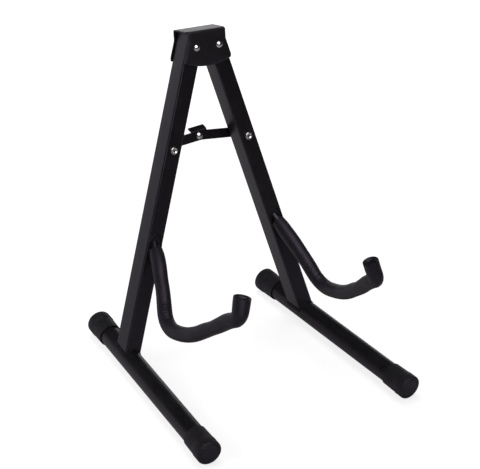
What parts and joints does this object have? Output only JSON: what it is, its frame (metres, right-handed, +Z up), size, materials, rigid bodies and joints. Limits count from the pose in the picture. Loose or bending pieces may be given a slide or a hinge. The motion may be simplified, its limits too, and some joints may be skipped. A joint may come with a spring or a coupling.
{
  "type": "guitar stand",
  "caption": "Folding A-frame guitar stand: tube legs riveted to a steel head, toggle brace with stop tab, padded cradle arms and round feet with rubber caps.",
  "frame": {"origin": "on the floor, at the middle of the open stand's bounding box", "axes": "+Z up, +Y to the back (the way the stand leans), +X to the right seen from the front"},
  "size_m": [0.3316, 0.3356, 0.4077],
  "materials": {
    "frame_paint": "satin black powder coat",
    "cover_paint": "satin black powder coat on a pressed cover",
    "cap_rubber": "moulded black rubber, matt",
    "sleeve_foam": "black foam rubber with a closed skin",
    "nickel": "bright nickel plate"
  },
  "bodies": {
    "head": {"head_channel": "frame_paint", "head_cover": "cover_paint", "head_rivet_left": "nickel", "head_rivet_right": "nickel"},
    "left_leg": {"leg_left": "frame_paint", "foot_tube_left": "frame_paint", "foot_weld_left": "frame_paint", "cap_front_left": "cap_rubber", "cap_back_left": "cap_rubber", "arm_rod_left": "frame_paint", "arm_weld_left": "frame_paint", "arm_sleeve_left": "sleeve_foam", "brace_rivet_left": "nickel", "brace_washer": "nickel"},
    "right_leg": {"leg_right": "frame_paint", "foot_tube_right": "frame_paint", "foot_weld_right": "frame_paint", "cap_front_right": "cap_rubber", "cap_back_right": "cap_rubber", "arm_rod_right": "frame_paint", "arm_weld_right": "frame_paint", "arm_sleeve_right": "sleeve_foam", "brace_rivet_right": "nickel", "brace_spacer": "nickel"},
    "left_link": {"brace_link_left": "frame_paint", "brace_hinge_rivet": "nickel"},
    "right_link": {"brace_link_right": "frame_paint", "brace_rivet_tail": "nickel"}
  },
  "joints": [
    {"name": "left_leg_fold", "type": "hinge", "parent": "head", "child": "left_leg", "pos_m": [-0.0164, 0.14805, 0.38375], "axis": [0, -0.9686, 0.2487], "range_deg": [0, 17]},
    {"name": "right_leg_fold", "type": "hinge", "parent": "head", "child": "right_leg", "pos_m": [0.0164, 0.14805, 0.38375], "axis": [0, -0.9686, 0.2487], "range_deg": [-17, 0]},
    {"name": "left_link_turn", "type": "hinge", "parent": "left_leg", "child": "left_link", "pos_m": [-0.05549, 0.11721, 0.26367], "axis": [0, -0.9686, 0.2487], "range_deg": [0, 49.51]},
    {"name": "right_link_turn", "type": "hinge", "parent": "left_link", "child": "right_link", "pos_m": [0, 0.11846, 0.26851], "axis": [0, -0.9686, 0.2487], "range_deg": [-133.02, 0]}
  ],
  "couplings": [
    {"joint": "right_leg_fold", "follows": "left_leg_fold", "ratio": -1},
    {"joint": "left_link_turn", "follows": "left_leg_fold", "ratio": 2.9122},
    {"joint": "right_link_turn", "follows": "left_leg_fold", "ratio": -7.8245}
  ]
}
